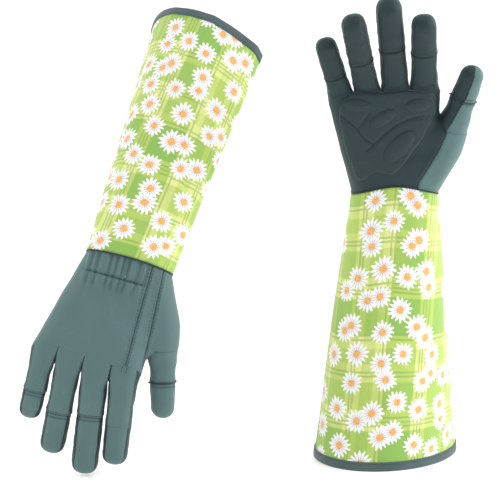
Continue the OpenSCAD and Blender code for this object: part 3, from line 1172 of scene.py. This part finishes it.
def cuff_rings(glove, hand, body):
    """Matching points of the wrist ring and the mouth ring, starting on the side that faces front"""
    tape = hand.inward(node_points(f"{glove}_cuff_binding"))
    middle = tape.mean(0)
    normal = np.linalg.svd(tape - middle, full_matrices=False)[2][2]
    normal *= -np.sign(normal.dot(-middle))
    height = (tape - middle) @ normal
    rim = tape[height > height.max() - 0.4]
    centre = rim.mean(0)
    axis = unit(-centre)
    front = hand.direction_in((0, -1, 0))
    first = unit(front - axis * front.dot(axis))
    second = np.cross(axis, first)
    wrist = wrist_ring(body)
    flat = rim - centre
    turn = np.arctan2(flat @ second, flat @ first)
    reach = np.linalg.norm(flat, axis=1)
    bins = np.round(turn / (2 * math.pi) * 180).astype(int) % 180
    angle, far = [], []
    for b in sorted(set(bins)):
        best = np.flatnonzero(bins == b)[np.argmax(reach[bins == b])]
        if reach[best] > 0.97 * np.median(reach[bins == b]):
            angle.append(turn[best])
            far.append(rim[best])
    order = np.argsort(angle)
    angle = np.array(angle)[order]
    far = np.array(far)[order]
    fine = np.linspace(-math.pi, math.pi, RING_POINTS, endpoint=False)
    mouth = np.stack([np.interp(fine, angle, far[:, k], period=2 * math.pi) for k in range(3)], 1)
    for _ in range(24):
        mouth = 0.5 * mouth + 0.25 * (np.roll(mouth, 1, 0) + np.roll(mouth, -1, 0))
    ways = np.linspace(0, 2 * math.pi, RING_POINTS, endpoint=False)
    pairs = []
    for way in ways:
        aim = first * math.cos(way) + second * math.sin(way)
        picked = []
        for ring in (mouth, wrist):
            weight = np.exp((ring @ aim - (ring @ aim).max()) / 0.06)
            picked.append((ring * weight[:, None]).sum(0) / weight.sum())
        pairs.append(picked)
    pairs = np.array(pairs)
    halfway = pairs.mean(1)
    steps = np.linalg.norm(np.roll(halfway, -1, 0) - halfway, axis=1)
    run = np.concatenate([[0], np.cumsum(steps)])
    closed = np.vstack([pairs, pairs[:1]])
    at = np.linspace(0, run[-1], CUFF_COLUMNS, endpoint=False)
    out = np.array([[np.interp(at, run, closed[:, ring, k]) for k in range(3)]
                    for ring in range(2)])
    return out[0].T, out[1].T, axis


def cuff_grid(mouth, wrist, axis):
    """Rows from the mouth to the wrist, with the slack of a sewn cloth tube"""
    rows = np.linspace(0, 1, CUFF_ROWS + 1)
    grid = mouth[None] * (1 - rows[:, None, None]) + wrist[None] * rows[:, None, None]
    middle = grid.mean(1, keepdims=True)
    out = grid - middle
    out -= axis * (out @ axis)[..., None]
    out /= np.linalg.norm(out, axis=2, keepdims=True)
    turn = np.arange(CUFF_COLUMNS) * 2 * math.pi / CUFF_COLUMNS
    slack = np.sin(rows * math.pi)[:, None]
    wave = (0.7 * np.sin(3 * turn + 0.8)[None] * slack +
            0.5 * np.sin(5 * turn[None] + 5 * rows[:, None]) * slack)
    near_wrist = np.exp(-((1 - rows) / 0.035))[:, None]
    pull = 0.35 * np.sin(24 * turn)[None] * near_wrist * (rows[:, None] < 0.999)
    grid = grid + out * (wave + pull + 0.6 * slack)[..., None]
    return grid, out


def print_map(grid):
    """Cloth coordinates in millimetres: across from the front line, along from the mouth"""
    steps = np.linalg.norm(np.roll(grid, -1, 1) - grid, axis=2)
    run = np.concatenate([np.zeros((len(grid), 1)), np.cumsum(steps, 1)], 1)
    whole = run[:, -1:]
    along = np.linalg.norm(np.diff(grid, axis=0), axis=2).mean(1)
    up = np.concatenate([[0], np.cumsum(along)])
    return run, whole, up


DAISY_RADIUS = 11.2
# Daisies on the front of each cuff: across from its middle and up from its mouth
DAISIES = {
    "standing": [
        (-19, 236), (12, 239), (19, 232), (-1, 216), (-21, 210), (-19, 196), (17, 196), (23, 202),
        (-7, 175), (15, 169), (-30, 169), (-42, 158), (33, 175), (37, 161), (-19, 149), (-8, 151),
        (11, 140), (-40, 122), (-33, 127), (-3, 120), (28, 126), (38, 116), (-25, 102), (17, 102),
        (-2, 93), (3, 79), (48, 100), (-52, 99), (-28, 76), (39, 77), (48, 83), (67, 79), (15, 60),
        (37, 52), (64, 53), (67, 39), (-41, 52), (-20, 43), (-7, 50), (2, 29), (13, 34), (35, 21),
        (-35, 20), (-62, 33), (-68, 62), (56, 14), (-14, 6), (-60, 5), (82, 22)],
    "reaching": [
        (23, 3), (5, 12), (-7, 8), (34, 32), (13, 38), (55, 21), (56, 39), (42, 58), (50, 64),
        (-13, 29), (-25, 23), (7, 61), (6, 75), (27, 81), (55, 82), (46, 102), (-25, 55),
        (11, 102), (-16, 82), (32, 121), (11, 131), (-1, 129), (-19, 108), (-30, 102), (40, 152),
        (21, 158), (-6, 151), (-20, 144), (12, 179), (12, 193), (-20, 178), (-42, 154), (33, 201),
        (44, 178), (-8, 204), (20, 221), (-32, 207), (-10, 229), (-20, 224), (36, 236), (-40, 122),
        (-45, 78), (-44, 33), (-58, 52), (70, 60), (66, 112), (56, 138)],
}
DAISY_GAP = 17.0
DAISY_TRIES = 2600
DAISY_FRONT = 0.235      # half of the share of the cuff that the listed ones fill


def scatter_daisies(glove, wide, up):
    """The listed daisies of the front, then seeded ones that fill the rest"""
    rng = np.random.default_rng(7 if glove == "standing" else 11)
    placed = [tuple(d) for d in DAISIES[glove]]
    for _ in range(DAISY_TRIES):
        u = rng.uniform(-wide[0] / 2 - 8, wide[0] / 2 + 8)
        v = rng.uniform(-5, up[-1] + 8)
        if abs(u) < DAISY_FRONT * np.interp(v, up, wide):
            continue
        if all(math.hypot(u - p[0], v - p[1]) > DAISY_GAP for p in placed):
            placed.append((u, v))
    spins = rng.uniform(0, 2 * math.pi, len(placed))
    sizes = rng.uniform(0.93, 1.07, len(placed))
    return np.array(placed), spins, sizes


def set_print(piece, corners, daisies=None):
    """corners gives each face's corner coordinates on the cloth"""
    mesh = piece.data
    layer = mesh.uv_layers.new(name="Print")
    flat = np.array([c for f in corners for c in f], np.float32)
    layer.data.foreach_set("uv", flat.ravel())
    if daisies is None:
        return
    places, spins, sizes = daisies
    near = [[], []]
    for f in corners:
        f = np.array(f)
        centre = f.mean(0)
        order = np.argsort(np.hypot(*(places - centre).T))[:2]
        for rank in range(2):
            spot = (f - places[order[rank]]) / (DAISY_RADIUS * sizes[order[rank]])
            c, s = math.cos(spins[order[rank]]), math.sin(spins[order[rank]])
            near[rank] += [(p[0] * c - p[1] * s, p[0] * s + p[1] * c) for p in spot]
    for rank, label in enumerate(("Daisy_near", "Daisy_next")):
        layer = mesh.uv_layers.new(name=label)
        layer.data.foreach_set("uv", np.array(near[rank], np.float32).ravel())


def cloth_tube(name, grid, out, first_row, last_row, outer, inner, hand, material, daisies=None):
    """A closed-walled cloth tube between two rows, with print coordinates on every corner"""
    run, whole, up = print_map(grid)
    rows = last_row - first_row + 1
    skin = grid[first_row:last_row + 1]
    away = out[first_row:last_row + 1]
    points = np.vstack([(skin + away * outer).reshape(-1, 3), (skin + away * inner).reshape(-1, 3)])
    count = rows * CUFF_COLUMNS
    faces, corners = [], []

    def place(r, c, half):
        across = run[first_row + r, c]
        if half:
            across -= whole[first_row + r, 0]
        return (across, up[first_row + r])

    for r in range(rows - 1):
        for c in range(CUFF_COLUMNS):
            n = (c + 1) % CUFF_COLUMNS
            half = c >= CUFF_COLUMNS // 2
            quad = (r * CUFF_COLUMNS + c, r * CUFF_COLUMNS + n,
                    (r + 1) * CUFF_COLUMNS + n, (r + 1) * CUFF_COLUMNS + c)
            uv = (place(r, c, half), place(r, c + 1, half), place(r + 1, c + 1, half),
                  place(r + 1, c, half))
            faces.append(quad[::-1])
            corners.append(uv[::-1])
            faces.append(tuple(q + count for q in quad))
            corners.append(uv)
    for r in (0, rows - 1):
        for c in range(CUFF_COLUMNS):
            n = (c + 1) % CUFF_COLUMNS
            half = c >= CUFF_COLUMNS // 2
            a, b = r * CUFF_COLUMNS + c, r * CUFF_COLUMNS + n
            quad = (a, b, b + count, a + count)
            uv = (place(r, c, half), place(r, c + 1, half), place(r, c + 1, half),
                  place(r, c, half))
            faces.append(quad if r == 0 else quad[::-1])
            corners.append(uv if r == 0 else uv[::-1])
    piece = make_object(name, points, faces, hand, material)
    set_print(piece, corners, daisies)
    return piece


def binding(glove, grid, out, hand):
    """Tape folded over the cuff's mouth, rounded at the fold and puffed along its edges"""
    rim, above = grid[0], grid[6]
    up = above - rim
    up /= np.linalg.norm(up, axis=1, keepdims=True)
    profile = [(TAPE_WIDE, 0.10), (TAPE_WIDE, 0.75), (TAPE_WIDE - 0.8, 1.05),
               (TAPE_WIDE - 2.0, 0.85), (TAPE_WIDE / 2, 1.0), (1.2, 1.1), (0.1, 0.8), (-0.5, 0.1),
               (-0.6, -0.9), (0.1, -1.7), (1.2, -2.1), (TAPE_WIDE / 2, -2.0),
               (TAPE_WIDE - 2.0, -1.95), (TAPE_WIDE - 0.8, -2.15), (TAPE_WIDE, -1.9),
               (TAPE_WIDE, -1.5)]
    points = np.concatenate([rim + up * a + out[0] * b for a, b in profile])
    number = len(profile)
    run = print_map(grid)[0]
    lengths = [0]
    for (a, b), (c, d) in zip(profile, profile[1:] + profile[:1]):
        lengths.append(lengths[-1] + math.hypot(c - a, d - b))
    faces, corners = [], []
    for p in range(number):
        for c in range(CUFF_COLUMNS):
            n = (c + 1) % CUFF_COLUMNS
            q = (p + 1) % number
            faces.append((p * CUFF_COLUMNS + c, p * CUFF_COLUMNS + n, q * CUFF_COLUMNS + n,
                          q * CUFF_COLUMNS + c))
            corners.append(((run[0, c], lengths[p]), (run[0, c + 1], lengths[p]),
                            (run[0, c + 1], lengths[p + 1]), (run[0, c], lengths[p + 1])))
    piece = make_object(f"{glove}_cuff_tape", points, faces, hand, BINDING_TAPE)
    set_print(piece, corners)
    return piece, up


# ---- One glove ----

def finish_piece(piece, slot, *nodes):
    if nodes:
        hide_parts(*nodes)
    return piece


def room_point(point, hand):
    return tuple(put_in_room(point, hand)[0])


def wrist_blend(piece, hand):
    room_point(WRIST_LEAN * BLEND_START, hand)
    room_point(WRIST_LEAN * BLEND_END, hand)
    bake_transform(piece)


def digit_blend(piece, spec, start, hand):
    axes = spec["axes"]
    room_point(axes.origin + axes.z * start, hand)
    room_point(axes.origin + axes.z * (start + BEND_LENGTH), hand)
    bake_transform(piece)


PANEL_LEATHER = {"palm_panel": PALM_LEATHER, "back_panel": BACK_LEATHER,
                 "side_strip": BACK_LEATHER, "thumb_saddle": BACK_LEATHER}


def back_line(body, line, z_from, z_to, offset):
    return [back_spot(body, line_x(line, z) + offset, z) for z in np.arange(z_from, z_to, 1.5)]


def hand_stitches(glove, hand, body):
    points, faces = [], []
    lines = []
    for offset in (-1.9, 1.9):
        lines.append(back_line(body, STRIP_INNER, 1, 97, offset))
        lines.append(back_line(body, STRIP_OUTER, 1, 60, offset))
    lines.append([back_spot(body, x, ELASTIC_AT) for x in np.arange(-34, 20, 1.2)])
    for line in lines:
        sew([p for p, n in line], [n for p, n in line], points, faces)
    turn, reach = closed_curve(OVERLAY, 120, np.array(OVERLAY_CENTRE, float))
    edge = [palm_spot(body, OVERLAY_CENTRE[0] + math.cos(t) * (r - 2.2),
                      OVERLAY_CENTRE[1] + math.sin(t) * (r - 2.2)) for t, r in zip(turn, reach)]
    sew([p + n * (OVERLAY_RISE - 0.05) for p, n in edge], [n for p, n in edge], points, faces,
        radius=0.25, closed=True)
    for x0, z0, half_long, half_wide, tilt, _ in PADS:
        c, s = math.cos(math.radians(tilt)), math.sin(math.radians(tilt))
        ring = []
        for t in np.linspace(0, 2 * math.pi, 40, endpoint=False):
            a, b = (half_long + 1.6) * math.cos(t), (half_wide + 1.6) * math.sin(t)
            x, z = x0 + a * c - b * s, z0 + a * s + b * c
            spot, normal = palm_spot(body, x, z)
            ring.append((spot + normal * (overlay_height(x, z) - 0.05), normal))
        sew([p for p, n in ring], [n for p, n in ring], points, faces, radius=0.25, closed=True)
    piece = make_object(f"{glove}_hand_stitches", np.array(points), faces, hand, SEAM_THREAD)
    finish_piece(piece, "back_leather")
    wrist_blend(piece, hand)


def build_hand(glove, hand, digits):
    points, faces = hand_body(digits)
    normals = point_normals(points, faces)
    points = gather_back(points, normals)
    points = soft_dents(points, normals, 0.55, 17)
    points = tuck_wrist(points)
    body = BVHTree.FromPolygons([tuple(p) for p in points], faces)
    cells = finger_cells(digits)
    cut, cut_faces, names, seams = divide_hand(points, faces, digits, cells)
    normals = point_normals(cut, cut_faces)
    cut, seam = seam_relief(cut, normals, cut[seams])
    normals = point_normals(cut, cut_faces)
    for panel, material in PANEL_LEATHER.items():
        part = pick(cut, cut_faces, [n == panel for n in names], normals, seam)
        piece = skin_piece(f"{glove}_{panel}_leather", part[0], part[1], LEATHER, hand, material,
                           part[3], part[2])
        slot = "palm_leather" if panel == "palm_panel" else "back_leather"
        finish_piece(piece, slot, f"{glove}_{panel}")
        wrist_blend(piece, hand)
    return body, cells


def build_palm(glove, hand, body):
    points, faces, seam = overlay_skin(body)
    piece = skin_piece(f"{glove}_palm_overlay_leather", points, faces, OVERLAY_THICK, hand,
                       OVERLAY_LEATHER, seam)
    finish_piece(piece, "overlay_leather", f"{glove}_palm_overlay")
    wrist_blend(piece, hand)
    points, faces, seam = pads_skin(body)
    piece = skin_piece(f"{glove}_palm_padding", points, faces, PAD_THICK, hand, OVERLAY_LEATHER,
                       seam)
    finish_piece(piece, "overlay_leather", f"{glove}_palm_pads")
    wrist_blend(piece, hand)


def build_elastic(glove, hand, body):
    """The gathered elastic inside the back of the wrist"""
    xs = np.linspace(-31, 19, 110)
    rows = np.linspace(ELASTIC_AT - ELASTIC_HALF, ELASTIC_AT + ELASTIC_HALF, 7)
    points = []
    for z in rows:
        for x in xs:
            spot, normal = back_spot(body, x, z)
            ripple = 0.25 * math.sin(x * 2.1)
            points.append(spot - normal * (LEATHER + 1.9 + ripple))
    faces = []
    for r in range(len(rows) - 1):
        for c in range(len(xs) - 1):
            a = r * len(xs) + c
            faces.append((a, a + len(xs), a + len(xs) + 1, a + 1))
    solid, solid_faces = shell(np.array(points), faces, 0.6)
    piece = make_object(f"{glove}_elastic_band", solid, solid_faces, hand, ELASTIC)
    local = hand.inward(np.array([v.co for v in piece.data.vertices]) / MM)
    corners = [[(local[i][0], local[i][2]) for i in p.vertices] for p in piece.data.polygons]
    set_print(piece, corners)
    finish_piece(piece, "elastic", f"{glove}_wrist_elastic")
    wrist_blend(piece, hand)


def build_digits(glove, hand, digits, body, cells):
    for digit in DIGITS:
        spec = digits[digit]
        skin = stall_skin(glove, digit, spec, body, cells.get(digit))
        for part, (points, faces, normals, seam) in stall_pieces(digit, skin).items():
            piece = skin_piece(f"{glove}_{digit}_{part}_leather", points, faces, LEATHER, hand,
                               STALL_LEATHER[part], seam, normals)
            if part == "tip":
                tint_tip(piece, digit, spec["axes"], hand)
            finish_piece(piece, STALL_SLOT[part], f"{glove}_{digit}_{part}")
            digit_blend(piece, spec, skin["start"], hand)
        digit_stitches(glove, digit, spec, skin, hand)


def digit_stitches(glove, digit, spec, skin, hand):
    """Topstitching each side of the tip seam, and the seam's cord on the thumb"""
    grid = skin["grid"]
    axes = spec["axes"]
    tip = skin["tip_row"]
    points, faces = [], []
    depth = TIP_SEAM_DEPTH.get((glove, digit), 1)
    columns = range(42, 85) if digit == "thumb" else range(0, 57)
    for row in (tip - 1, tip + 2) if depth == 1 else ():
        path = [grid[row, c % COLUMNS] for c in columns]
        middle = grid[row].mean(0)
        out = [unit(p - middle) for p in path]
        sew(path, out, points, faces, radius=0.24)
    if digit == "thumb":
        ring = [grid[tip, c % COLUMNS] for c in range(COLUMNS)]
        middle = grid[tip].mean(0)
        out = [unit(p - middle) for p in ring]
        cord = [p + o * 0.35 for p, o in zip(ring, out)]
        tube(cord, [axes.z] * len(cord), 0.55, points, faces)
        for c in (0, 28):
            end = [ring[c] + out[c] * step for step in (0.0, 0.8, 1.6)]
            tube(end, [axes.z] * 3, 0.75, points, faces, closed=False)
    if not points:
        return
    piece = make_object(f"{glove}_{digit}_stitches", np.array(points), faces, hand, SEAM_THREAD)
    finish_piece(piece, "gusset_leather")
    digit_blend(piece, spec, skin["start"], hand)


def build_cuff(glove, hand, body):
    cuff = f"{glove}_cuff"
    mouth, wrist, axis = cuff_rings(glove, hand, body)
    grid, out = cuff_grid(mouth, wrist, axis)
    _, whole, up = print_map(grid)
    daisies = scatter_daisies(glove, whole[:, 0], up)
    tape_row = max(1, int(TAPE_WIDE * 0.6 / up[-1] * CUFF_ROWS))
    sleeve = cloth_tube(f"{glove}_cuff_cotton", grid, out, tape_row, CUFF_ROWS, 0, -SLEEVE, hand,
                        PRINTED_COTTON, daisies)
    finish_piece(sleeve, "printed_cotton", f"{glove}_cuff_sleeve")
    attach(sleeve, cuff)
    lining_row = CUFF_ROWS - 4
    lining = cloth_tube(f"{glove}_cuff_lining_cloth", grid, out, tape_row, lining_row, -0.9, -1.5,
                        hand, CUFF_LINING)
    finish_piece(lining, "cuff_lining", f"{glove}_cuff_lining")
    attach(lining, cuff)
    tape, rise = binding(glove, grid, out, hand)
    finish_piece(tape, "binding_tape", f"{glove}_cuff_binding")
    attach(tape, cuff)
    points, faces = [], []
    edge = [p + u * (TAPE_WIDE - 1.5) + o * 0.85 for p, u, o in zip(grid[0], rise, out[0])]
    sew(edge, out[0], points, faces, radius=0.28, closed=True)
    thread = make_object(f"{glove}_tape_stitches", np.array(points), faces, hand, HEM_THREAD)
    finish_piece(thread, "binding_tape")
    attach(thread, cuff)
    points, faces = [], []
    welt = [p + unit(p - q) * 0.45 - o * 0.15 for p, q, o in zip(grid[-1], grid[-3], out[-1])]
    tube(welt, out[-1], 0.75, points, faces)
    piping = make_object(f"{glove}_wrist_welt", np.array(points), faces, hand, GUSSET_LEATHER,
                         np.full(len(points), 0.6))
    finish_piece(piping, "gusset_leather")
    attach(piping, cuff)


for glove in GLOVES:
    hand = read_hand(glove)
    digits = {digit: read_digit(glove, digit, hand) for digit in DIGITS}
    body, cells = build_hand(glove, hand, digits)
    hand_stitches(glove, hand, body)
    build_palm(glove, hand, body)
    build_elastic(glove, hand, body)
    build_digits(glove, hand, digits, body, cells)
    build_cuff(glove, hand, body)

# ---- Floor, light and world ----

FLOOR_GLOW = 0.32
WORLD_GLOW = 0.5


def make_stage():
    mesh = bpy.data.meshes.new("studio_floor")
    rise = [(-2.5, 0), (1.2, 0)] + [(1.2 + math.sin(a) * 0.6, 0.6 - math.cos(a) * 0.6)
                                    for a in np.linspace(0.1, math.pi / 2, 12)] + [(1.8, 3.5)]
    points = [(x, y, z - 0.0004) for y, z in rise for x in (-4.0, 4.0)]
    faces = [(2 * i, 2 * i + 1, 2 * i + 3, 2 * i + 2) for i in range(len(rise) - 1)]
    mesh.from_pydata(points, [], faces)
    mesh.polygons.foreach_set("use_smooth", [True] * len(mesh.polygons))
    material, tree, shader = principled("studio_white")
    place = node(tree, "ShaderNodeTexCoord").outputs["Object"]
    haze = node(tree, "ShaderNodeTexNoise", {"Vector": place, "Scale": 4.0}).outputs[0]
    link(tree, calc(tree, "ADD", 0.10, calc(tree, "MULTIPLY", haze, 0.05)),
         shader.inputs["Roughness"])
    shader.inputs["Base Color"].default_value = (0.9, 0.9, 0.9, 1)
    shader.inputs["Emission Color"].default_value = (1, 1, 1, 1)
    shader.inputs["Emission Strength"].default_value = FLOOR_GLOW
    shader.inputs["Specular IOR Level"].default_value = 0.6
    mesh.materials.append(material)
    floor = bpy.data.objects.new("studio_floor", mesh)
    bpy.context.collection.objects.link(floor)


make_stage()
world = bpy.data.worlds.new("studio_world")
bpy.context.scene.world = world
world.use_nodes = True
world.node_tree.nodes["Background"].inputs[0].default_value = (1, 1, 1, 1)
world.node_tree.nodes["Background"].inputs[1].default_value = WORLD_GLOW
bpy.context.scene.view_settings.view_transform = "Standard"
# Name, place, what it faces, width and height in metres, watts
SOFTBOXES = [("left_softbox", (-1.3, -0.5, 0.8), (0, 0, 0.2), (0.9, 1.4), 10),
             ("right_softbox", (1.4, -0.3, 0.8), (0.1, 0, 0.25), (0.9, 1.4), 22),
             ("top_softbox", (0, -0.3, 1.7), (0, 0, 0.2), (1.4, 1.0), 5)]
for softbox in SOFTBOXES:
    area_light(*softbox)
